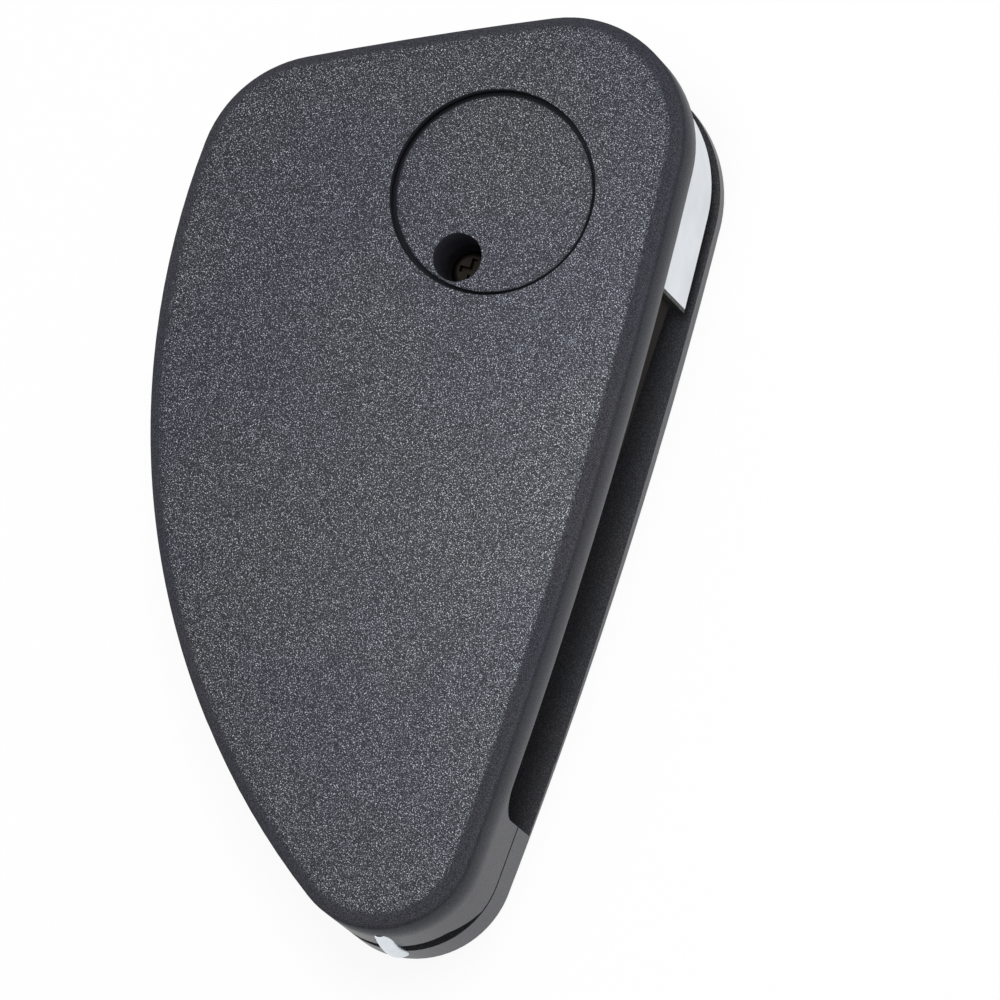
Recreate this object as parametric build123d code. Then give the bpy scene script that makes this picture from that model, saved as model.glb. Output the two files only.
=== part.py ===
from build123d import *
import os
from math import cos, radians, sin, sqrt, tan

# Flip key remote, blade folded, lying on its front face with the rear face up.
# Everything is modelled in the case frame: X towards the blade slot, Y towards the blade
# carrier, Z square out of the rear face, with Z at 0 where the front face meets the thick end.
# The front face slopes by TAPER, so the last step turns the whole key to lie flat on that face.

# Case outline: three corner circles joined by three wide arcs
WIDE_CORNER = (-9.15, 18.41)
WIDE_CORNER_R = 9.8
CARRIER_CORNER = (8.0, 25.93)
CARRIER_CORNER_R = 9.6
FRONT_CORNER_R = 10.85   # rounder corner of the front shell and of the carrier
TIP_CORNER = (11.26, -28.28)
TIP_CORNER_R = 7.23
HEAD_SIDE_R = 340
SLOT_SIDE_R = 440
LONG_SIDE_R = 60.3

# Case heights and walls
TAPER = 2.65             # slope of the front face against the rear face, degrees
REAR_Z = 15.8            # rear face
SEAM_Z = 6.6             # parting line of the two shells
WALL = 1.6
ROOF = 1.8               # thickness of the rear face
FLOOR = 1.6              # thickness of the front face
REAR_EDGE_R = 1.35
FRONT_EDGE_R = 0.4
RIB = 1.2
TONGUE_W = 0.7
TONGUE_H = 0.8
SEAM_LINE = 0.25         # shadow line at the parting, width and depth
FIT = 0.1                # gap between pieces that seat in each other
RUN_FIT = 0.05           # radial gap of the turning and sliding fits

# Blade slot and carrier space
PIVOT = (11.2, 27.0)
SLOT_TOP_Z = 11.3        # lower edge of the rear shell along the slot
SLOT_FLOOR_Z = 2.95      # floor of the slot, halfway along the case
SLOT_FLOOR_LEAN = 0.75   # its slope against the rear face, degrees
SLOT_END_R = 2.4
SLOT_REST_R = 3.4        # low round rest under the blade's tip
SLOT_REST_H = 0.15
SLOT_REST_X = 17.3
SLOT_REST_IN = 2.9       # from the end of the slot to its middle
HEAD_OPENING_X = 4.0     # where the opening ends on the head side
CARRIER_R = 9.7
SWING_GAP = 0.08         # between the turning collar and the wall of its space

# Blade carrier
CARRIER_H = 6.85
CARRIER_TOP_Z = SLOT_TOP_Z - FIT
CARRIER_END_Y = 17.4
CARRIER_INSET = 0.12     # how far its face lies inside the case outline
COLLAR_X = 8.9
TRIM_T = 0.35
TRIM_SHORT = 0.3         # bare end of the carrier beside the trim
TRIM_REACH = 5.2         # how far the trim goes past the pivot on the head side
HUB_ROOF = 1.8
HUB_R = 3.75
LUG_R = 4.3
LUG_W = 1.8
LUG_ANGLE = 135
NOTCH_FIT = 0.12

# Pivot in the rear shell and collar in the front shell
PAD_R = 5.0
SPIGOT_R = 2.0
SPIGOT_H = 1.7
LAND_R = 5.1

# Blade
BLADE_W = 8.2
BLADE_T = 2.3
BLADE_L = 40.6
BLADE_END_GAP = 0.8      # from its tip to the end of the slot
BLADE_OUTER_X = 17.5
BLADE_SIDE_GAP = 0.7     # from the blade to the inner side of the slot
BLADE_Z = 7.75           # middle of its thickness
BLADE_TIP = 2.2
BLADE_TAPER = 0.4        # how far its outer edge runs in towards the tip
GROOVE_W = 2.0
GROOVE_D = 0.5
GROOVE_END = 2.0         # from the blade's root to the end of its grooves
TANG_W = 6.0
TANG_L = 4.0
ROLL_PIN_R = 0.8

# Badge seat and case screw in the rear shell
SEAT = (4.43, 20.62)
SEAT_R = 8.0
SEAT_D = 0.6
SEAT_GROOVE_D = 0.8      # clip groove round the floor of the seat
SEAT_GROOVE_IN = 0.4     # how far it reaches in from the wall of the seat
SEAT_GROOVE_OUT = 0.2    # how far it reaches out under the edge of the seat
SCREW = (3.18, 15.23)
SCREW_WELL_R = 1.9
SCREW_WELL_Z = 9.6       # where the screw head seats
SCREW_BOSS_R = 2.7
SCREW_HEAD_R = 1.75
SCREW_HEAD_H = 1.3
SCREW_R = 1.0
SCREW_L = 6.4
SCREW_SLOT = (0.5, 2.0, 0.7)

# Key ring bar at the tip
BAR_ANGLE = -79          # its direction from the middle of the tip corner, degrees
BAR_INSET = 0.5          # its middle line lies inside the outline at both ends
BAR_R = 0.62
BAR_BOW = 0.6            # how far its middle stands out
BAR_Z = (5.1, 12.0)
BAR_SOCKET = 1.5         # depth of its seat in each shell
BAR_NOTCH = (-0.85, 0.62)  # sides of the notch, from the bar's middle
BAR_CLEAR = 4.0          # depth of the notch behind the bar
BAR_BOSS_R = 3.6
RING_SLOT_R = 4.2
RING_SLOT_H = 1.8
RING_SLOT_END_R = 7.2    # where it has run out to the shadow line

# Front buttons
RELEASE_R = 3.6
RELEASE_TRAVEL = 2.0
RELEASE_TOP_Z = 6.0
RELEASE_CUP_R = 3.0
RELEASE_CUP_Z = 1.9
RELEASE_LUG_DROP = 1.3   # how far the lugs reach below the carrier
BUTTON_RECESS = 0.25     # how far the button faces lie below the front face
BUTTON_LENGTH = 11.0
BUTTON_WIDTH = 7.0
BUTTON_GAP = 0.1
BUTTON_FLANGE = 0.9
BUTTON_FLANGE_T = 0.6
BUTTON_TRAVEL = 0.5
BUTTONS = {
    "lock": (-6.6, 13.4),
    "unlock": (-6.6, 2.2),
    "trunk": (-4.6, -9.0),
}

# Flip spring
SPRING_WIRE_R = 0.3
SPRING_COIL_R = 2.5
SPRING_PITCH = 1.6
SPRING_WIRE_SIDES = 8

# Electronics
PAD_GAP = 0.1            # between a pressed button and the rubber pad
PAD_T = 0.6
PAD_MARGIN = 1.6
PAD_LINK = (5.0, 6.0)    # strips that join the pad under the buttons
SWITCH_BODY = (4.5, 4.5, 1.3)
SWITCH_STEM_R = 1.1
SWITCH_STEM_H = 0.4
BOARD_T = 1.0
BOARD_MARGIN = 0.7
BOARD_END_Y = -17.5
BOARD_POSTS = ((-15.2, 15.0), (-1.0, 22.2), (-6.0, -15.8), (5.8, -14.5))
BOARD_POST_R = 1.1
CELL = (-3.4, 1.2)
CELL_R = 10.0
CELL_T = 3.2
CELL_EDGE = 0.35
CELL_STEP_H = 0.5        # step round the face that rests on the board
CELL_STEP_W = 1.2
CELL_POST_R = 1.2
CELL_POST_OUT = 6.0      # from the middle of the cell to each post that holds it down
CONTACT_T = 0.25
CONTACT_W = 4.5
CHIP_SIZE = (4.4, 5.0, 1.0)
CHIP_PLACE = (4.3, 4.0)
CRYSTAL_SIZE = (3.2, 2.5, 0.8)
CRYSTAL_PLACE = (4.3, -2.6)
CAPACITOR_SIZE = (1.6, 0.8, 0.7)
CAPACITOR_COUNT = 4
CAPACITOR_PITCH = 2.2
CAPACITOR_PLACE = (-13.2, 12.0)
TRANSPONDER_SIZE = (9.0, 4.6, 2.8)
TRANSPONDER_PLACE = (1.8, -23.2)
TRANSPONDER_ANGLE = -49
TRANSPONDER_Z = 5.0
CRADLE_LIP = 1.0

# Places that follow
CARRIER_Z = CARRIER_TOP_Z - CARRIER_H
HUB_ROOF_Z = CARRIER_TOP_Z - HUB_ROOF
ROOF_Z = REAR_Z - ROOF
SLOT_END_Y = CARRIER_END_Y - BLADE_L - BLADE_END_GAP
SLOT_INNER_X = BLADE_OUTER_X - BLADE_W - BLADE_SIDE_GAP
CARRIER_SPACE_R = sqrt((PIVOT[0] - COLLAR_X)**2 + (PIVOT[1] - CARRIER_END_Y)**2) + SWING_GAP
BAR = (
    TIP_CORNER[0] + (TIP_CORNER_R - BAR_INSET) * cos(radians(BAR_ANGLE)),
    TIP_CORNER[1] + (TIP_CORNER_R - BAR_INSET) * sin(radians(BAR_ANGLE)),
)


def meeting(first, first_reach, second, second_reach):
    """The point at given distances from two points, right of the way from first to second."""
    start, end = Vector(*first), Vector(*second)
    span = (end - start).length
    along = (first_reach**2 - second_reach**2 + span**2) / (2 * span)
    aside = sqrt(first_reach**2 - along**2)
    forward = (end - start).normalized()
    return start + forward * along + Vector(forward.Y, -forward.X) * aside


def arc_between(centre, start, end, inset):
    """The arc from start to end round a centre, moved in by inset."""
    middle = ((start + end) * 0.5 - centre).normalized()
    radius = (start - centre).length - inset
    points = [centre + (point - centre).normalized() * radius for point in (start, end)]
    return ThreePointArc(points[0], centre + middle * radius, points[1])


def outline(inset=0.0, carrier_corner_r=CARRIER_CORNER_R):
    """The case outline as a face, moved in by inset all round."""
    corners = [Vector(*WIDE_CORNER), Vector(*CARRIER_CORNER), Vector(*TIP_CORNER)]
    radii = [WIDE_CORNER_R, CARRIER_CORNER_R, TIP_CORNER_R]
    side_radii = [HEAD_SIDE_R, SLOT_SIDE_R, LONG_SIDE_R]
    count = len(corners)
    centres = []
    for index, radius in enumerate(side_radii):
        after = (index + 1) % count
        centres.append(
            meeting(corners[index], radius - radii[index], corners[after], radius - radii[after])
        )
    corners[1] = meeting(
        centres[0], HEAD_SIDE_R - carrier_corner_r, centres[1], SLOT_SIDE_R - carrier_corner_r
    )
    ends = []
    for index, centre in enumerate(centres):
        after = corners[(index + 1) % count]
        ends.append([
            centre + (corner - centre).normalized() * side_radii[index]
            for corner in (corners[index], after)
        ])
    edges = []
    for index, (start, end) in enumerate(ends):
        after = (index + 1) % count
        edges.append(arc_between(centres[index], start, end, inset))
        edges.append(arc_between(corners[after], end, ends[after][0], inset))
    return Face(Wire(edges))


def front_outline(inset=0.0):
    return outline(inset, FRONT_CORNER_R)


def prism(face, low, high):
    """A face in the XY plane raised from one height to another."""
    return Pos(0, 0, low) * extrude(face, amount=high - low, dir=(0, 0, 1))


def disc(centre, radius, low, high):
    return Pos(centre[0], centre[1], low) * Cylinder(
        radius, high - low, align=(Align.CENTER, Align.CENTER, Align.MIN)
    )


def block(x, y, z):
    """A box between two limits along each axis."""
    return Pos(x[0], y[0], z[0]) * Box(
        x[1] - x[0], y[1] - y[0], z[1] - z[0], align=(Align.MIN, Align.MIN, Align.MIN)
    )


def above(y, z, slope):
    """All the space over a plane through a height at a place along Y, with a slope in degrees."""
    lean = radians(slope)
    plane = Plane(origin=(0, y, z), x_dir=(1, 0, 0), z_dir=(0, sin(lean), cos(lean)))
    return plane * Box(
        2 * REACH, 3 * REACH, REACH, align=(Align.CENTER, Align.CENTER, Align.MIN)
    )


def above_front(offset):
    """All the space that lies further in than the front face by an offset."""
    return above(TOP_Y, offset / cos(radians(TAPER)), TAPER)


def above_slot_floor(offset):
    return above(0, SLOT_FLOOR_Z + offset, SLOT_FLOOR_LEAN)


def front_z(y):
    """Height of the front face at a place along Y."""
    return (TOP_Y - y) * tan(radians(TAPER))


CASE_BOX = outline().bounding_box()
TOP_Y = CASE_BOX.max.Y
REACH = CASE_BOX.diagonal  # size of the blocks that cut right through
LOWEST_BUTTON_Y = min(place[1] for place in BUTTONS.values()) - BUTTON_WIDTH / 2 - BUTTON_FLANGE
BUTTON_TOP_Z = front_z(LOWEST_BUTTON_Y) + FLOOR + BUTTON_FLANGE_T + FIT
PAD_Z = BUTTON_TOP_Z + BUTTON_TRAVEL + PAD_GAP
BOARD_Z = PAD_Z + PAD_T + FIT + SWITCH_STEM_H + SWITCH_BODY[2]
CELL_Z = BOARD_Z + BOARD_T + CONTACT_T


def slot_space(grow=0.0):
    """Plan of the space that the blade and its carrier swing in, made wider by grow."""
    along_slot = Pos(SLOT_INNER_X - grow, SLOT_END_Y - grow) * Rectangle(
        REACH, PIVOT[1] - SLOT_END_Y + grow, align=(Align.MIN, Align.MIN)
    )
    at_head = Pos(HEAD_OPENING_X - grow, PIVOT[1]) * Rectangle(
        REACH, REACH, align=(Align.MIN, Align.MIN)
    )
    round_pivot = Pos(*PIVOT) * Circle(CARRIER_SPACE_R + grow)
    return along_slot + at_head + round_pivot


def slot_wall():
    """Plan of the rib that closes the case off from the blade slot."""
    return (slot_space(RIB) - slot_space()) & outline(WALL / 2)


def wall_band(outer, inner):
    """Plan of the wall between two insets from the outline."""
    return outline(outer) - outline(inner)


def bar_path():
    """Middle line of the bowed key ring bar."""
    out = (Vector(*BAR) - Vector(*TIP_CORNER)).normalized()
    foot = Vector(BAR[0], BAR[1])
    middle = foot + out * BAR_BOW
    return ThreePointArc(
        (foot.X, foot.Y, BAR_Z[0]),
        (middle.X, middle.Y, sum(BAR_Z) / 2),
        (foot.X, foot.Y, BAR_Z[1]),
    )


def bar_solid(radius):
    path = bar_path()
    return sweep(Plane(origin=path @ 0, z_dir=path % 0) * Circle(radius), path=path)


def bar_notch():
    """The gap in the tip wall that leaves the middle of the bar bare."""
    bare = (BAR_Z[0] + BAR_SOCKET, BAR_Z[1] - BAR_SOCKET)
    notch = Rot(Z=90 + BAR_ANGLE) * block(BAR_NOTCH, (-BAR_INSET - BAR_R, BAR_CLEAR), bare)
    return Pos(BAR[0], BAR[1]) * notch + disc(BAR, RING_SLOT_R, SEAM_Z, SEAM_Z + RING_SLOT_H)


def ring_slot_ends():
    """Where the ring slot runs out along the parting line."""
    cone = Cone(
        RING_SLOT_END_R, RING_SLOT_R, RING_SLOT_H, align=(Align.CENTER, Align.CENTER, Align.MIN)
    )
    band = wall_band(-FIT, WALL - TONGUE_W - FIT)
    return (Pos(BAR[0], BAR[1], SEAM_Z) * cone) & prism(band, SEAM_Z, SEAM_Z + RING_SLOT_H)


def seat_groove():
    floor_z = REAR_Z - SEAT_D
    groove = disc(SEAT, SEAT_R + SEAT_GROOVE_OUT, floor_z - SEAT_GROOVE_D, floor_z)
    return groove - disc(SEAT, SEAT_R - SEAT_GROOVE_IN, floor_z - SEAT_GROOVE_D, floor_z)


def make_rear_shell():
    shell = prism(outline(), SEAM_Z, REAR_Z)
    shell = fillet(shell.faces().sort_by(Axis.Z)[-1].edges(), REAR_EDGE_R)
    shell -= prism(outline(WALL), SEAM_Z, ROOF_Z)
    inside = prism(outline(WALL / 2), SEAM_Z, REAR_Z - ROOF / 2)
    shell += prism(slot_wall(), SEAM_Z, ROOF_Z)
    shell += disc(PIVOT, PAD_R, SLOT_TOP_Z, ROOF_Z) & inside
    shell += disc(SEAT, SEAT_R + RIB, ROOF_Z - SEAT_D, ROOF_Z) & inside
    shell += disc(SCREW, SCREW_BOSS_R, SEAM_Z, ROOF_Z)
    shell += disc(BAR, BAR_BOSS_R, SEAM_Z, ROOF_Z) & inside
    shell += disc(BAR, RING_SLOT_R + RIB, SEAM_Z, SEAM_Z + RING_SLOT_H + RIB) & inside
    for side in (-CELL_POST_OUT, CELL_POST_OUT):
        place = (CELL[0], CELL[1] + side)
        shell += disc(place, CELL_POST_R, CELL_Z + CELL_T + CONTACT_T + FIT, ROOF_Z)
    opening = prism(slot_space(), SEAM_Z - 1, SLOT_TOP_Z)
    lower_end = opening.edges().filter_by(Axis.X).sort_by(Axis.Y)[:2].sort_by(Axis.Z)[-1]
    shell -= fillet(lower_end, SLOT_END_R)
    shell += disc(PIVOT, SPIGOT_R, SLOT_TOP_Z - SPIGOT_H, SLOT_TOP_Z)
    shell -= disc(SEAT, SEAT_R, REAR_Z - SEAT_D, REAR_Z)
    shell -= seat_groove()
    shell -= disc(SCREW, SCREW_WELL_R, SCREW_WELL_Z, REAR_Z)
    shell -= disc(SCREW, SCREW_R + FIT, SEAM_Z, SCREW_WELL_Z)
    shell -= prism(wall_band(WALL - TONGUE_W - FIT, WALL), SEAM_Z, SEAM_Z + TONGUE_H + FIT)
    shell -= prism(wall_band(-FIT, SEAM_LINE), SEAM_Z, SEAM_Z + SEAM_LINE)
    shell -= bar_notch() + bar_solid(BAR_R)
    return shell - ring_slot_ends()


def make_front_shell():
    shell = prism(front_outline(), -1, SEAM_Z) & above_front(0)
    shell = fillet(shell.faces().sort_by(Axis.Z)[0].edges(), FRONT_EDGE_R)
    hollow = prism(front_outline(WALL), 0, SEAM_Z) & above_front(FLOOR)
    shell -= hollow
    inside = prism(front_outline(WALL / 2), 0, SEAM_Z) & above_front(FLOOR / 2)
    shell += prism(slot_wall(), 0, SEAM_Z) & inside
    shell += prism(wall_band(WALL - TONGUE_W, WALL), SEAM_Z, SEAM_Z + TONGUE_H)
    shell += disc(SCREW, SCREW_BOSS_R, 0, SEAM_Z) & inside
    shell += disc(BAR, RING_SLOT_R + RIB, 0, SEAM_Z) & inside
    slot = prism(slot_space(), 0, SEAM_Z + TONGUE_H)
    shell -= slot & above_front(FLOOR)
    shell -= slot & above_slot_floor(0)
    rest = Pos(SLOT_REST_X, SLOT_END_Y + SLOT_REST_IN) * Circle(SLOT_REST_R)
    rest = prism(rest & slot_space() & front_outline(), 0, SEAM_Z)
    shell += rest & (above_slot_floor(-FIT) - above_slot_floor(SLOT_REST_H))
    shell += disc(PIVOT, LAND_R, 0, CARRIER_Z - FIT) & above_front(FLOOR / 2)
    shell -= disc(PIVOT, RELEASE_R + RUN_FIT, -1, CARRIER_Z)
    shell -= disc(PIVOT, LUG_R + FIT, CARRIER_Z - RELEASE_LUG_DROP - FIT, CARRIER_Z)
    shell -= disc(SCREW, SCREW_R, SCREW_WELL_Z - SCREW_L, SEAM_Z)
    shell -= bar_notch() + bar_solid(BAR_R)
    for place in BUTTONS.values():
        shell -= Pos(*place) * prism(button_plan(BUTTON_GAP), -1, SEAM_Z)
    for place in BOARD_POSTS:
        shell += disc(place, BOARD_POST_R, 0, BOARD_Z) & above_front(FLOOR / 2)
    cradle = Rectangle(TRANSPONDER_SIZE[0] + 2 * RIB, TRANSPONDER_SIZE[1] + 2 * RIB)
    pocket = Rectangle(TRANSPONDER_SIZE[0] + 2 * FIT, TRANSPONDER_SIZE[1] + 2 * FIT)
    seat = prism(cradle, 0, TRANSPONDER_Z + CRADLE_LIP)
    seat -= prism(pocket, TRANSPONDER_Z, TRANSPONDER_Z + CRADLE_LIP)
    shell += (Pos(*TRANSPONDER_PLACE) * Rot(Z=TRANSPONDER_ANGLE) * seat) & inside
    return shell


def carrier_plan():
    """Plan of the carrier: it fills the case corner folded and turned half a turn."""
    outer = front_outline(CARRIER_INSET)
    turned = Pos(2 * PIVOT[0], 2 * PIVOT[1]) * Rot(Z=180) * outer
    body = outer & turned & (Pos(*PIVOT) * Circle(CARRIER_R))
    collar = Pos(COLLAR_X, CARRIER_END_Y) * Rectangle(
        REACH, PIVOT[1] - CARRIER_END_Y, align=(Align.MIN, Align.MIN)
    )
    return body + (collar & outer)


def trim_plan():
    """Plan of the bright strip on the carrier's outer face."""
    skin = carrier_plan() - front_outline(CARRIER_INSET + TRIM_T)
    outside = Pos(PIVOT[0] - TRIM_REACH, CARRIER_END_Y + TRIM_SHORT) * Rectangle(
        REACH, REACH, align=(Align.MIN, Align.MIN)
    )
    return skin & outside


def make_blade_carrier():
    carrier = prism(carrier_plan() - trim_plan(), CARRIER_Z, CARRIER_TOP_Z)
    carrier -= disc(PIVOT, HUB_R, CARRIER_Z, HUB_ROOF_Z)
    carrier -= disc(PIVOT, SPIGOT_R + RUN_FIT, HUB_ROOF_Z, CARRIER_TOP_Z)
    carrier -= lug_pair(NOTCH_FIT, CARRIER_Z, RELEASE_TOP_Z + RELEASE_TRAVEL + FIT)
    carrier -= blade_tang()
    carrier -= disc(roll_pin_place(), ROLL_PIN_R, CARRIER_Z, CARRIER_TOP_Z)
    return carrier


def lug_pair(grow, low, high):
    """The two lugs that key the release button to the carrier."""
    bar = block((-LUG_R - grow, LUG_R + grow), (-LUG_W / 2 - grow, LUG_W / 2 + grow), (low, high))
    return (Pos(*PIVOT) * Rot(Z=LUG_ANGLE) * bar) & disc(PIVOT, LUG_R + grow, low, high)


def blade_middle_x():
    return BLADE_OUTER_X - BLADE_W / 2


def roll_pin_place():
    return (blade_middle_x(), CARRIER_END_Y + TANG_L / 2)


def blade_heights():
    return (BLADE_Z - BLADE_T / 2, BLADE_Z + BLADE_T / 2)


def blade_tang():
    middle = blade_middle_x()
    return block(
        (middle - TANG_W / 2, middle + TANG_W / 2),
        (CARRIER_END_Y - FIT, CARRIER_END_Y + TANG_L),
        blade_heights(),
    )


def make_key_blade():
    low, high = blade_heights()
    root_y = CARRIER_END_Y - FIT / 2
    tip_y = root_y - BLADE_L
    inner_x = BLADE_OUTER_X - BLADE_W
    corners = (
        (inner_x, root_y),
        (BLADE_OUTER_X, root_y),
        (BLADE_OUTER_X - BLADE_TAPER, tip_y),
        (inner_x, tip_y),
    )
    blade = prism(make_face(Polyline(*corners, close=True)), low, high)
    tip_edges = blade.edges().filter_by(Axis.Z).group_by(Axis.Y)[0]
    blade = chamfer(tip_edges, BLADE_TIP)
    middle = blade_middle_x()
    for side in (low, high - GROOVE_D):
        blade -= block(
            (middle - GROOVE_W / 2, middle + GROOVE_W / 2),
            (tip_y, root_y - GROOVE_END),
            (side, side + GROOVE_D),
        )
    blade += blade_tang()
    return blade - disc(roll_pin_place(), ROLL_PIN_R, low, high)


def make_flip_spring():
    """Coil between the cup of the release button and the roof of the hub."""
    low = RELEASE_CUP_Z + SPRING_WIRE_R + RUN_FIT
    high = HUB_ROOF_Z - SPRING_WIRE_R - RUN_FIT
    path = Helix(pitch=SPRING_PITCH, height=high - low, radius=SPRING_COIL_R)
    wire = Plane(origin=path @ 0, x_dir=(1, 0, 0), z_dir=path % 0) * RegularPolygon(
        SPRING_WIRE_R, SPRING_WIRE_SIDES, major_radius=False
    )
    return Pos(PIVOT[0], PIVOT[1], low) * sweep(wire, path=path, is_frenet=True)


def make_release_button():
    button = disc(PIVOT, RELEASE_R, -1, RELEASE_TOP_Z) & above_front(BUTTON_RECESS)
    button += lug_pair(0, CARRIER_Z - RELEASE_LUG_DROP, RELEASE_TOP_Z)
    return button - disc(PIVOT, RELEASE_CUP_R, RELEASE_CUP_Z, RELEASE_TOP_Z)


def button_plan(grow):
    return SlotOverall(BUTTON_LENGTH + 2 * grow, BUTTON_WIDTH + 2 * grow)


def make_button(place):
    """A remote button: its face shows in the front shell, its flange keeps it in."""
    cap = (Pos(*place) * prism(button_plan(0), -1, BUTTON_TOP_Z)) & above_front(BUTTON_RECESS)
    flange = Pos(*place) * prism(button_plan(BUTTON_FLANGE), 0, BUTTON_TOP_Z)
    seated = above_front(FLOOR + RUN_FIT) - above_front(FLOOR + RUN_FIT + BUTTON_FLANGE_T)
    return cap + (flange & seated)


def make_button_pad():
    """Rubber sheet between the buttons and their switches."""
    pad = Sketch()
    for place in BUTTONS.values():
        pad += Pos(*place) * button_plan(PAD_MARGIN)
    places = list(BUTTONS.values())
    for near, far in zip(places, places[1:]):
        pad += Pos((near[0] + far[0]) / 2, (near[1] + far[1]) / 2) * Rectangle(*PAD_LINK)
    return prism(pad & outline(WALL + BOARD_MARGIN), PAD_Z, PAD_Z + PAD_T)


def make_switch(place):
    body_z = BOARD_Z - SWITCH_BODY[2]
    body = block(
        (place[0] - SWITCH_BODY[0] / 2, place[0] + SWITCH_BODY[0] / 2),
        (place[1] - SWITCH_BODY[1] / 2, place[1] + SWITCH_BODY[1] / 2),
        (body_z, BOARD_Z),
    )
    return body + disc(place, SWITCH_STEM_R, body_z - SWITCH_STEM_H, body_z)


def make_circuit_board():
    plan = outline(WALL + BOARD_MARGIN) - slot_space(RIB + BOARD_MARGIN / 2)
    plan -= Pos(*SCREW) * Circle(SCREW_BOSS_R + BOARD_MARGIN / 2)
    plan &= Pos(-REACH / 2, BOARD_END_Y) * Rectangle(REACH, REACH, align=(Align.MIN, Align.MIN))
    return prism(plan.faces().sort_by(SortBy.AREA)[-1], BOARD_Z, BOARD_Z + BOARD_T)


def mounted(size, place, rear=False):
    """A small part soldered flat on the front or rear of the board."""
    low = BOARD_Z + BOARD_T if rear else BOARD_Z - size[2]
    return block(
        (place[0] - size[0] / 2, place[0] + size[0] / 2),
        (place[1] - size[1] / 2, place[1] + size[1] / 2),
        (low, low + size[2]),
    )


def make_board_capacitors():
    group = Part()
    for index in range(CAPACITOR_COUNT):
        place = (CAPACITOR_PLACE[0], CAPACITOR_PLACE[1] - index * CAPACITOR_PITCH)
        group += mounted(CAPACITOR_SIZE, place)
    return group


def make_coin_cell():
    cell = disc(CELL, CELL_R, CELL_Z, CELL_Z + CELL_T)
    cell = chamfer(cell.edges().sort_by(Axis.Z)[-1], CELL_EDGE)
    step = disc(CELL, CELL_R, CELL_Z, CELL_Z + CELL_STEP_H)
    return cell - (step - disc(CELL, CELL_R - CELL_STEP_W, CELL_Z, CELL_Z + CELL_STEP_H))


def make_cell_contact_plus():
    """Clip from the board over the back of the coin cell."""
    half = CONTACT_W / 2
    reach = CELL_R + FIT
    top = CELL_Z + CELL_T
    strip = block(
        (CELL[0] - half, CELL[0] + half),
        (CELL[1] - reach - CONTACT_T, CELL[1] + reach + CONTACT_T),
        (BOARD_Z + BOARD_T, top + CONTACT_T),
    )
    return strip - block(
        (CELL[0] - half, CELL[0] + half), (CELL[1] - reach, CELL[1] + reach), (BOARD_Z, top)
    )


def make_cell_contact_minus():
    """Flat leaf on the board under the coin cell."""
    return mounted((CONTACT_W, CELL_R, CONTACT_T), CELL, rear=True)


def make_transponder_chip():
    chip = prism(
        Rectangle(TRANSPONDER_SIZE[0], TRANSPONDER_SIZE[1]),
        TRANSPONDER_Z,
        TRANSPONDER_Z + TRANSPONDER_SIZE[2],
    )
    return Pos(*TRANSPONDER_PLACE) * Rot(Z=TRANSPONDER_ANGLE) * chip


def make_case_screw():
    screw = disc(SCREW, SCREW_HEAD_R, SCREW_WELL_Z, SCREW_WELL_Z + SCREW_HEAD_H)
    screw = fillet(screw.edges().sort_by(Axis.Z)[-1], SCREW_HEAD_H / 2)
    screw += disc(SCREW, SCREW_R, SCREW_WELL_Z - SCREW_L, SCREW_WELL_Z)
    width, length, depth = SCREW_SLOT
    top = SCREW_WELL_Z + SCREW_HEAD_H
    for size in ((width, length), (length, width)):
        screw -= Pos(SCREW[0], SCREW[1], top - depth) * Box(
            size[0], size[1], depth, align=(Align.CENTER, Align.CENTER, Align.MIN)
        )
    return screw


def lay_flat(shape):
    """Turns the key onto its front face and puts the middle of its underside at the origin."""
    lean = radians(TAPER)
    middle_z = (SEAM_Z + REAR_Z) / 2
    return Pos(0, middle_z * sin(lean), -TOP_Y * sin(lean)) * Rot(X=TAPER) * shape


parts = {
    "rear_shell": make_rear_shell(),
    "front_shell": make_front_shell(),
    "blade_carrier": make_blade_carrier(),
    "carrier_trim": prism(trim_plan(), CARRIER_Z, CARRIER_TOP_Z),
    "key_blade": make_key_blade(),
    "blade_roll_pin": disc(roll_pin_place(), ROLL_PIN_R, CARRIER_Z, CARRIER_TOP_Z),
    "flip_spring": make_flip_spring(),
    "release_button": make_release_button(),
    "button_pad": make_button_pad(),
    "circuit_board": make_circuit_board(),
    "microcontroller": mounted(CHIP_SIZE, CHIP_PLACE),
    "crystal": mounted(CRYSTAL_SIZE, CRYSTAL_PLACE),
    "board_capacitors": make_board_capacitors(),
    "coin_cell": make_coin_cell(),
    "cell_contact_plus": make_cell_contact_plus(),
    "cell_contact_minus": make_cell_contact_minus(),
    "transponder_chip": make_transponder_chip(),
    "case_screw": make_case_screw(),
    "key_ring_bar": bar_solid(BAR_R),
}
for name, place in BUTTONS.items():
    parts[name + "_button"] = make_button(place)
    parts[name + "_switch"] = make_switch(place)

os.makedirs("parts", exist_ok=True)
for name, shape in parts.items():
    export_step(lay_flat(shape), "parts/" + name + ".step")
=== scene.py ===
from math import cos, radians, sin

import bpy
from mathutils import Matrix, Vector

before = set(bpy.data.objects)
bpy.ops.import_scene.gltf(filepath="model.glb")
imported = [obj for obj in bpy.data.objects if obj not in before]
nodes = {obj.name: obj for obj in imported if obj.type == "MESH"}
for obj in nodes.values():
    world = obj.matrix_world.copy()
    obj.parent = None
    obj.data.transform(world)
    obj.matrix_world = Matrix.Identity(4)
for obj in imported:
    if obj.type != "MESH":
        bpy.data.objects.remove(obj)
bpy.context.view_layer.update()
scene = bpy.context.scene

# The case frame of the CAD source is in mm. It is turned by TAPER about X, which lays the case on
# its front face, and is then moved into the shared frame.
TAPER = radians(2.65)
MIDDLE_Z = 11.2          # a point at this height stays over its Y
TOP_Y = 35.53            # a point at height 0 stays there at this Y
MM = 0.001


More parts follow.
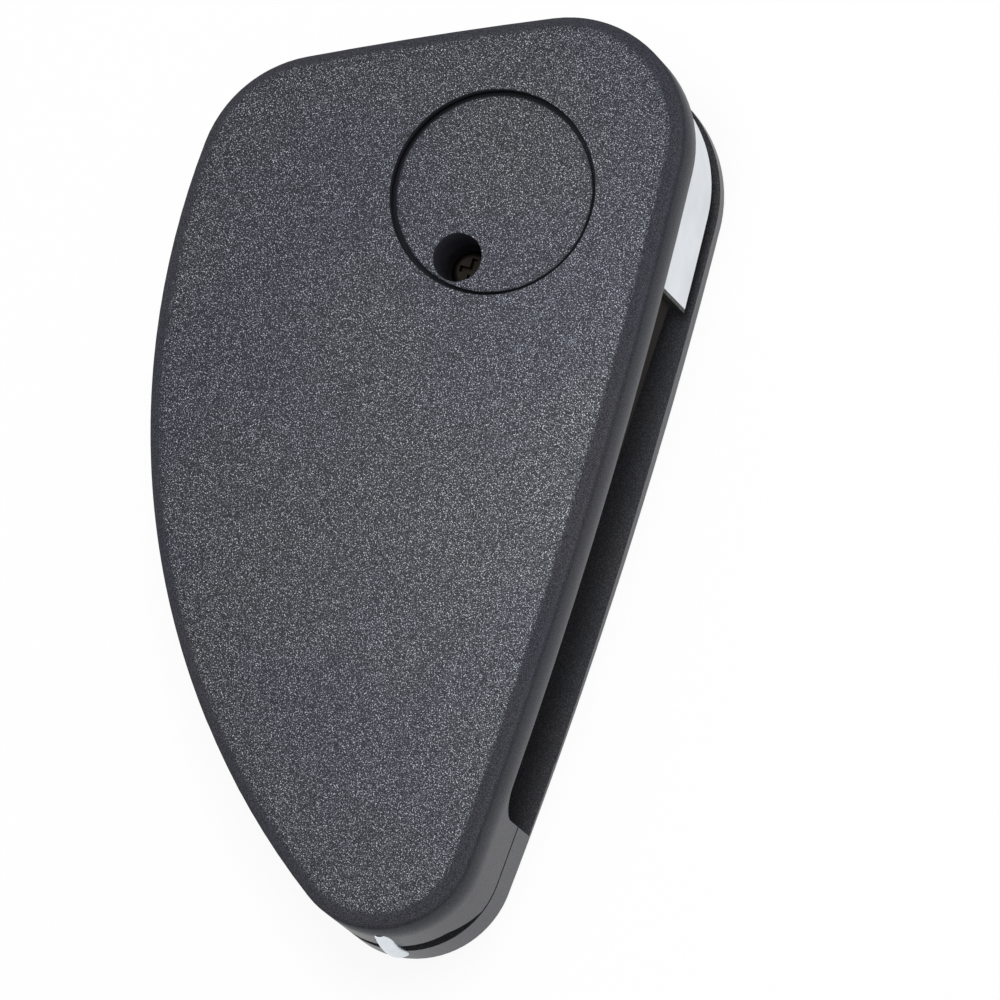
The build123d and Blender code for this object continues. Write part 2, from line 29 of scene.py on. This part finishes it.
def from_case(x, y, z):
    """A point of the case frame, in mm, as a point of the shared frame, in metres."""
    return (turned(x, y, z) + Vector((0, MIDDLE_Z * sin(TAPER), -TOP_Y * sin(TAPER)))) * MM


def turned(x, y, z):
    """A direction of the case frame in the shared frame."""
    return Matrix.Rotation(TAPER, 3, "X") @ Vector((x, y, z))


# Camera, at the photograph's viewing angle; its place and directions are of the case frame
CAMERA_PLACE = (314.74, -150.44, 950.92)
CAMERA_RIGHT = (0.92028, 0.30125, -0.24966)
CAMERA_DOWN = (0.2461, -0.94175, -0.22921)
CAMERA_LENS = 479.76
SENSOR_WIDTH = 36
CLIP = (0.05, 20)

camera = bpy.data.objects.new("camera", bpy.data.cameras.new("camera"))
scene.collection.objects.link(camera)
scene.camera = camera
right = turned(*CAMERA_RIGHT).normalized()
up = -turned(*CAMERA_DOWN)
up = (up - right * up.dot(right)).normalized()
back = right.cross(up)
pose = Matrix((right, up, back)).transposed().to_4x4()
pose.translation = from_case(*CAMERA_PLACE)
camera.matrix_world = pose
camera.data.sensor_width = SENSOR_WIDTH
camera.data.lens = CAMERA_LENS
camera.data.clip_start, camera.data.clip_end = CLIP


# Node helpers
def new_material(name):
    """A material with one Principled shader, as the material, its tree and the shader."""
    material = bpy.data.materials.new(name)
    material.use_nodes = True
    tree = material.node_tree
    tree.nodes.clear()
    shader = tree.nodes.new("ShaderNodeBsdfPrincipled")
    out = tree.nodes.new("ShaderNodeOutputMaterial")
    tree.links.new(shader.outputs["BSDF"], out.inputs["Surface"])
    return material, tree, shader


def feed(tree, socket, value):
    """Links an input to another node's output, or sets the value of its own."""
    if isinstance(value, bpy.types.NodeSocket):
        tree.links.new(value, socket)
    else:
        socket.default_value = value


def add(tree, kind, **values):
    """A node with its inputs fed by name."""
    node = tree.nodes.new(kind)
    for name, value in values.items():
        feed(tree, node.inputs[name], value)
    return node


def calc(tree, operation, first, second=0.0):
    """One step of arithmetic on two values."""
    node = tree.nodes.new("ShaderNodeMath")
    node.operation = operation
    for socket, value in zip(node.inputs, (first, second)):
        feed(tree, socket, value)
    return node.outputs["Value"]


def vector_calc(tree, operation, first, second=(0, 0, 0)):
    """One step of vector arithmetic; the node's outputs are Vector and Value."""
    node = tree.nodes.new("ShaderNodeVectorMath")
    node.operation = operation
    for socket, value in zip(node.inputs, (first, second)):
        feed(tree, socket, value)
    return node.outputs


def object_place(tree):
    """The point of the surface, in metres, where the piece lies at rest."""
    return add(tree, "ShaderNodeTexCoord").outputs["Object"]


LATTICE_TURN = (0.62, 0.47, 0.35)   # keeps flat faces out of line with the noise lattice


def grain(tree, size, detail=2.0, roughness=0.5, stretch=(1, 1, 1)):
    """Noise whose features are about size metres across."""
    mapping = add(
        tree, "ShaderNodeMapping", Vector=object_place(tree), Scale=stretch, Rotation=LATTICE_TURN
    )
    return add(
        tree, "ShaderNodeTexNoise", Vector=mapping.outputs["Vector"],
        Scale=1 / size, Detail=detail, Roughness=roughness,
    ).outputs["Fac"]


def spread(tree, factor, low, high, start=0.0, end=1.0):
    """A factor between start and end as a value between low and high."""
    limits = {"From Min": start, "From Max": end, "To Min": low, "To Max": high}
    return add(tree, "ShaderNodeMapRange", Value=factor, **limits).outputs["Result"]


def tint(tree, factor, stops):
    """A factor as a colour, from stops of a position and a colour each."""
    ramp = add(tree, "ShaderNodeValToRGB", Fac=factor)
    elements = ramp.color_ramp.elements
    while len(elements) < len(stops):
        elements.new(0.5)
    for element, (place, colour) in zip(elements, stops):
        element.position = place
        element.color = (*colour, 1)
    return ramp.outputs["Color"]


def mixed(tree, kind, factor, first, second, blend="MIX"):
    """Two colours (RGBA) or values (FLOAT) mixed by a factor."""
    node = tree.nodes.new("ShaderNodeMix")
    node.data_type = kind
    node.blend_type = blend
    for name, value in (("Factor", factor), ("A", first), ("B", second)):
        socket = next(s for s in node.inputs if s.name == name and s.enabled)
        feed(tree, socket, (*value, 1) if isinstance(value, tuple) else value)
    return next(s for s in node.outputs if s.enabled)


def multiplied(tree, first, second):
    """Two colours multiplied."""
    return mixed(tree, "RGBA", 1.0, first, second, "MULTIPLY")


def bumped(tree, shader, layers):
    """Bump from (height, strength, distance) layers, laid over each other."""
    normal = None
    for height, strength, distance in layers:
        node = add(tree, "ShaderNodeBump", Height=height, Strength=strength, Distance=distance)
        if normal is not None:
            tree.links.new(normal, node.inputs["Normal"])
        normal = node.outputs["Normal"]
    tree.links.new(normal, shader.inputs["Normal"])


def facing(tree, direction):
    """How far the surface faces a fixed direction of the part, 1 when fully."""
    normal = add(tree, "ShaderNodeTexCoord").outputs["Normal"]
    return vector_calc(tree, "DOT_PRODUCT", normal, direction)["Value"]


def grey(value):
    """A colour without hue."""
    return (value,) * 3


# Materials
PLASTIC_IOR = 1.5
GRAIN_MIDDLE = (0.3, 0.7)     # noise values between which most of it lies


def moulded(name, colour, grain_size=0.0002, rough=(0.45, 0.65), strength=0.5, mottle=0.08,
            sparkle=0.25, level=0.4):
    """Moulded plastic with a spark eroded grain."""
    material, tree, shader = new_material(name)
    fine = grain(tree, grain_size, 2.0, 0.65)
    coarse = grain(tree, grain_size * 2.3, 1.5)
    cloud = grain(tree, 0.012, 3.0)
    dark = tuple(c * (1 - mottle) for c in colour)
    light = tuple(c * (1 + mottle) for c in colour)
    body = tint(tree, cloud, ((0.35, dark), (0.65, light)))
    speckle = tint(tree, fine, ((0.36, grey(1 - sparkle)), (0.64, grey(1 + sparkle))))
    feed(tree, shader.inputs["Base Color"], multiplied(tree, body, speckle))
    feed(tree, shader.inputs["Roughness"], spread(tree, coarse, *rough, *GRAIN_MIDDLE))
    bumped(tree, shader, ((coarse, strength * 0.6, 0.00004), (fine, strength, 0.00003)))
    shader.inputs["IOR"].default_value = PLASTIC_IOR
    shader.inputs["Specular IOR Level"].default_value = level
    return material


def metal(name, colour, rough=(0.2, 0.35), grain_size=0.0001, stretch=(1, 12, 1), strength=0.15):
    """Plated or ground metal with a fine direction to its scratches."""
    material, tree, shader = new_material(name)
    lines = grain(tree, grain_size, 3.0, 0.6, stretch)
    cloud = grain(tree, 0.004, 2.0)
    dark = tuple(c * 0.88 for c in colour)
    shade = tint(tree, cloud, ((0.3, dark), (0.7, colour)))
    feed(tree, shader.inputs["Base Color"], shade)
    shader.inputs["Metallic"].default_value = 1
    feed(tree, shader.inputs["Roughness"], spread(tree, lines, *rough, *GRAIN_MIDDLE))
    bumped(tree, shader, ((lines, strength, 0.00001),))
    return material


REAR_WAY = tuple(turned(0, 0, 1))
SLOT_WAY = (1.0, 0.0, 0.0)
REAR_WAY_PER_MM = tuple(c / MM for c in REAR_WAY)
SHADE_FACING = (0.55, 0.75)    # how far a face looks one way where the painted shade starts and is full


def paint_shade_facing(material, direction, share, rough):
    """Paints shade on the faces that look one way: colour times share, and rough."""
    tree = material.node_tree
    inputs = tree.nodes["Principled BSDF"].inputs
    shaded_faces = spread(tree, facing(tree, direction), 0.0, 1.0, *SHADE_FACING)
    colour, roughness = (inputs[n].links[0].from_socket for n in ("Base Color", "Roughness"))
    shaded_colour = multiplied(tree, colour, share)
    feed(tree, inputs["Base Color"], mixed(tree, "RGBA", shaded_faces, colour, shaded_colour))
    feed(tree, inputs["Roughness"], mixed(tree, "FLOAT", shaded_faces, roughness, rough))


def case_height(tree):
    """Height over the case frame's origin, in mm, of a point of the surface."""
    lift = MIDDLE_Z * sin(TAPER) ** 2 + TOP_Y * sin(TAPER) * cos(TAPER)
    along = vector_calc(tree, "DOT_PRODUCT", object_place(tree), REAR_WAY_PER_MM)["Value"]
    return calc(tree, "ADD", along, lift)


def from_axis(tree, x, y):
    """Distance in mm from an axis that is square to the rear face."""
    place = vector_calc(tree, "SUBTRACT", object_place(tree), from_case(x, y, 0))["Vector"]
    across = vector_calc(tree, "CROSS_PRODUCT", place, REAR_WAY_PER_MM)["Vector"]
    return vector_calc(tree, "LENGTH", across)["Value"]


def within(tree, value, low, high, soft):
    """1 between two limits and 0 outside them, with soft ends."""
    rising = spread(tree, value, 0.0, 1.0, low - soft, low)
    falling = spread(tree, value, 1.0, 0.0, high, high + soft)
    return calc(tree, "MULTIPLY", rising, falling)


# Case plastic; lengths and heights are in mm of the case frame
BARREL_Z = 11.3          # height from which the bump leans the side wall in
BARREL_BEND = 0.20       # how fast its slope grows above that, per mm
CROWN_R = 560.0          # radius of the bump's faint crown on the rear face
SEAT = (4.43, 20.62)
SEAT_R = 8.0
PAINTED_SHADE_RING = (SEAT_R - 0.34, SEAT_R + 0.25, 0.24)     # painted shade, a dark ring round the seat where its groove and wall lie in shade: inner, outer, fade
PAINTED_SHADE_HEIGHT = (13.0, 15.72, 0.03)               # and its heights: lowest, highest, fade
OUTSIDE_HEIGHT = (13.0, 13.6)   # a flat face under these is the slot's, over them the rear face
FLAT_FACING = (0.945, 0.998)    # how far a face looks backwards where it starts to be flat, and is
EDGE_FACING = (0.22, 0.72)      # the same for the rounded edge
EDGE_BLUR = (-0.015, 0.015)     # uneven border between them
EDGE_ROUGH = (0.38, 0.82)       # from the side wall to the rounded edge
FLAT_ROUGH = (0.74, 0.34)       # from the grain's hollows to its tips
# painted shade: near black colour and a dull finish for the seat's groove and wall, where shade
# falls
PAINTED_SHADE_COLOUR = (0.007, 0.007, 0.010)
PAINTED_SHADE_ROUGH = 0.95
REFLECTION_TINT = (0.86, 0.905, 1.0, 1)

# Stops: a value of the noise and the share of the colour there
# grain on the rear face; its two brightest stops are painted glints
SPECKLE_AND_GLINTS = (
    (0.32, grey(0.02)), (0.50, grey(0.45)), (0.60, (1.4, 1.35, 1.25)),
    (0.68, (4.5, 4.2, 3.6)), (0.77, (17.0, 15.5, 13.0)),
)
DUST = ((0.32, grey(0.40)), (0.50, grey(0.90)), (0.68, grey(2.4)))
FLECKS = ((0.36, grey(0.75)), (0.55, grey(1.0)), (0.72, grey(2.2)))
CLOUDS = ((0.35, (0.91, 0.94, 1.00)), (0.65, (1.08, 1.06, 1.03)))


def case_material(name, flat, side, floor, grain_size=0.00008):
    """Case plastic: spark eroded on the rear face and the seat, finer on edges and sides."""
    material, tree, shader = new_material(name)
    fine = grain(tree, grain_size, 0.0)
    coarse = grain(tree, grain_size * 3.0, 1.0)
    cloud = grain(tree, 0.014, 3.0)

    # Where it is: level faces, the rear face among them, those of the slot, and the ring of painted
    # shade round the seat
    height = case_height(tree)
    up = calc(tree, "ABSOLUTE", facing(tree, REAR_WAY))
    edge = calc(tree, "ADD", up, spread(tree, coarse, *EDGE_BLUR, 0.25, 0.75))
    level = spread(tree, edge, 0.0, 1.0, *FLAT_FACING)
    top = calc(tree, "MULTIPLY", level, spread(tree, height, 0.0, 1.0, *OUTSIDE_HEIGHT))
    lightened_slot_floor = calc(tree, "SUBTRACT", level, top)
    painted_shade_ring = calc(
        tree, "MULTIPLY",
        within(tree, from_axis(tree, *SEAT), *PAINTED_SHADE_RING), within(tree, height, *PAINTED_SHADE_HEIGHT),
    )

    dusty = multiplied(tree, side, tint(tree, fine, DUST))
    # the rear face's grain carries painted glints at its brightest stops
    base = mixed(tree, "RGBA", top, dusty, multiplied(tree, flat, tint(tree, fine, SPECKLE_AND_GLINTS)))
    # painted light: level faces in the slot take a lighter colour than the same plastic elsewhere,
    # as if more light reached them
    base = mixed(tree, "RGBA", lightened_slot_floor, base, multiplied(tree, floor, tint(tree, fine, FLECKS)))
    # painted shade: the seat's groove and wall turn near black
    base = mixed(tree, "RGBA", painted_shade_ring, base, PAINTED_SHADE_COLOUR)
    feed(tree, shader.inputs["Base Color"], multiplied(tree, base, tint(tree, cloud, CLOUDS)))

    round_edge = spread(tree, up, *EDGE_ROUGH, *EDGE_FACING)
    rough = mixed(tree, "FLOAT", top, round_edge, spread(tree, fine, *FLAT_ROUGH, 0.38, 0.60))
    feed(tree, shader.inputs["Roughness"], mixed(tree, "FLOAT", painted_shade_ring, rough, PAINTED_SHADE_ROUGH))

    rise = calc(tree, "MAXIMUM", calc(tree, "SUBTRACT", height, BARREL_Z), 0.0)
    barrel = calc(tree, "MULTIPLY", calc(tree, "MULTIPLY", rise, rise), -0.5 * BARREL_BEND)
    place = object_place(tree)
    square = vector_calc(tree, "DOT_PRODUCT", place, place)["Value"]
    crown = calc(tree, "MULTIPLY", square, -0.5 / CROWN_R / MM**2)
    form = calc(tree, "ADD", barrel, crown)
    pits = calc(tree, "ADD", fine, calc(tree, "MULTIPLY", coarse, 0.9))
    relief = calc(tree, "MULTIPLY", level, pits)
    bumped(tree, shader, ((form, 1.0, MM), (coarse, 0.55, 0.00002), (relief, 0.20, 0.00005)))
    shader.inputs["IOR"].default_value = PLASTIC_IOR
    shader.inputs["Specular IOR Level"].default_value = 0.5
    shader.inputs["Specular Tint"].default_value = REFLECTION_TINT
    return material


# colours of the rear face, the sides and the slot floor; the slot floor's lighter colour is painted
# light
case_plastic = case_material(
    "case_plastic", (0.031, 0.034, 0.045), (0.025, 0.0243, 0.031), (0.052, 0.052, 0.057)
)
carrier_plastic = moulded(
    "carrier_plastic", (0.014, 0.014, 0.015), 0.00022, sparkle=0.9, strength=1.0
)
button_plastic = moulded("button_plastic", (0.012, 0.012, 0.013), 0.00012, sparkle=0.15)
switch_plastic = moulded("switch_plastic", (0.022, 0.022, 0.022), 0.0001, sparkle=0.1, strength=0.2)
pad_rubber = moulded("pad_rubber", (0.030, 0.030, 0.031), 0.00014, (0.7, 0.85), 0.3, 0.15, 0.1)
chip_plastic = moulded("chip_plastic", (0.014, 0.014, 0.015), 0.00006, (0.55, 0.7), 0.3, 0.1, 0.1)
transponder_plastic = moulded(
    "transponder_plastic", (0.020, 0.020, 0.021), 0.0001, (0.25, 0.4), 0.15
)
board_laminate = moulded(
    "board_laminate", (0.018, 0.085, 0.036), 0.0003, (0.2, 0.3), 0.1, 0.2, 0.06
)
capacitor_ceramic = moulded("capacitor_ceramic", (0.30, 0.19, 0.10), 0.00005, (0.4, 0.55), 0.1)

EVEN = (1, 1, 1)         # no direction to the scratches
trim_paint = metal("satin_trim", (0.80, 0.83, 0.87), (0.34, 0.42), stretch=EVEN, strength=0.05)
release_paint = metal("release_paint", (0.74, 0.74, 0.73), (0.3, 0.42), stretch=EVEN, strength=0.05)
bar_metal = metal("bar_metal", (0.74, 0.79, 0.84), (0.22, 0.38), 0.0004, EVEN, 0.4)
blade_steel = metal("blade_steel", (0.34, 0.34, 0.33), (0.3, 0.45), stretch=(12, 1, 1))
# painted shade: the blade's faces toward the slot's opening are darkened as if in the slot's shadow
paint_shade_facing(blade_steel, SLOT_WAY, (0.06, 0.052, 0.045), 0.8)
pin_steel = metal("pin_steel", (0.5, 0.5, 0.5))
# painted shade: the screw is near black for the shade of the deep well it sits in
screw_steel = metal("screw_steel", (0.014, 0.012, 0.010), (0.35, 0.7))
spring_steel = metal("spring_steel", (0.34, 0.34, 0.35), grain_size=0.00005)
crystal_can = metal("crystal_can", (0.62, 0.61, 0.58), (0.25, 0.4), stretch=(6, 1, 1))
cell_steel = metal("cell_steel", (0.66, 0.65, 0.63), (0.22, 0.34), stretch=(8, 1, 1))
contact_metal = metal("contact_metal", (0.62, 0.58, 0.48), (0.25, 0.4), stretch=(1, 10, 1))

LOOKS = {
    "rear_shell": case_plastic,
    "front_shell": case_plastic,
    "blade_carrier": carrier_plastic,
    "carrier_trim": trim_paint,
    "key_blade": blade_steel,
    "blade_roll_pin": pin_steel,
    "flip_spring": spring_steel,
    "release_button": release_paint,
    "lock_button": button_plastic,
    "unlock_button": button_plastic,
    "trunk_button": button_plastic,
    "lock_switch": switch_plastic,
    "unlock_switch": switch_plastic,
    "trunk_switch": switch_plastic,
    "button_pad": pad_rubber,
    "circuit_board": board_laminate,
    "microcontroller": chip_plastic,
    "crystal": crystal_can,
    "board_capacitors": capacitor_ceramic,
    "coin_cell": cell_steel,
    "cell_contact_plus": contact_metal,
    "cell_contact_minus": contact_metal,
    "transponder_chip": transponder_plastic,
    "key_ring_bar": bar_metal,
    "case_screw": screw_steel,
}
for name, node in nodes.items():
    node.data.materials.clear()
    node.data.materials.append(LOOKS[name])


# Floor, backdrop and light
WHITE = (1, 1, 1, 1)
FLOOR_HALF = 3.0
FLOOR_Z = -0.00002       # a hair under the front face
FLOOR_SHADE = 0.07       # share of the floor's brightness that takes the shadow

floor_mesh = bpy.data.meshes.new("floor")
corners = ((-1, -1), (1, -1), (1, 1), (-1, 1))
floor_mesh.from_pydata(
    [(x * FLOOR_HALF, y * FLOOR_HALF, FLOOR_Z) for x, y in corners], [], [(0, 1, 2, 3)]
)
floor = bpy.data.objects.new("floor", floor_mesh)
scene.collection.objects.link(floor)
floor_look, tree, shader = new_material("floor")
shader.inputs["Base Color"].default_value = WHITE
shader.inputs["Roughness"].default_value = 0.9
shader.inputs["Specular IOR Level"].default_value = 0
path = add(tree, "ShaderNodeLightPath").outputs
seen = calc(tree, "MAXIMUM", path["Is Camera Ray"], path["Is Glossy Ray"])
seen = calc(tree, "MAXIMUM", seen, path["Is Transmission Ray"])
glow = add(tree, "ShaderNodeEmission", Color=WHITE, Strength=1.0)
blend = add(tree, "ShaderNodeMixShader", Fac=calc(tree, "MULTIPLY", seen, 1 - FLOOR_SHADE))
tree.links.new(shader.outputs["BSDF"], blend.inputs[1])
tree.links.new(glow.outputs["Emission"], blend.inputs[2])
tree.links.new(blend.outputs["Shader"], tree.nodes["Material Output"].inputs["Surface"])
floor_mesh.materials.append(floor_look)

HORIZON_LIGHT = 0.9
SKY_LIGHT = 0.30
SKY_FROM = 0.26          # sine of the height angle at which the horizon's light has faded
world = bpy.data.worlds.new("world")
world.use_nodes = True
scene.world = world
tree = world.node_tree
background = tree.nodes["Background"]
background.inputs["Color"].default_value = WHITE
way = add(tree, "ShaderNodeTexCoord").outputs["Generated"]
upward = add(tree, "ShaderNodeSeparateXYZ", Vector=way).outputs["Z"]
dome = spread(tree, upward, HORIZON_LIGHT, SKY_LIGHT, 0.0, SKY_FROM)
seen = add(tree, "ShaderNodeLightPath").outputs["Is Camera Ray"]
tree.links.new(mixed(tree, "FLOAT", seen, dome, 1.0), background.inputs["Strength"])

# A small soft box near the key: its reflection brightens the face from left to right
LAMP_PLACE = Vector((0.025, 0.020, 0.24))
lamp_data = bpy.data.lights.new("key", "AREA")
lamp_data.size = 0.09
lamp_data.energy = 0.42
lamp = bpy.data.objects.new("key", lamp_data)
scene.collection.objects.link(lamp)
lamp.location = LAMP_PLACE
lamp.rotation_mode = "QUATERNION"
lamp.rotation_quaternion = LAMP_PLACE.to_track_quat("Z", "Y")

scene.view_settings.view_transform = "Standard"
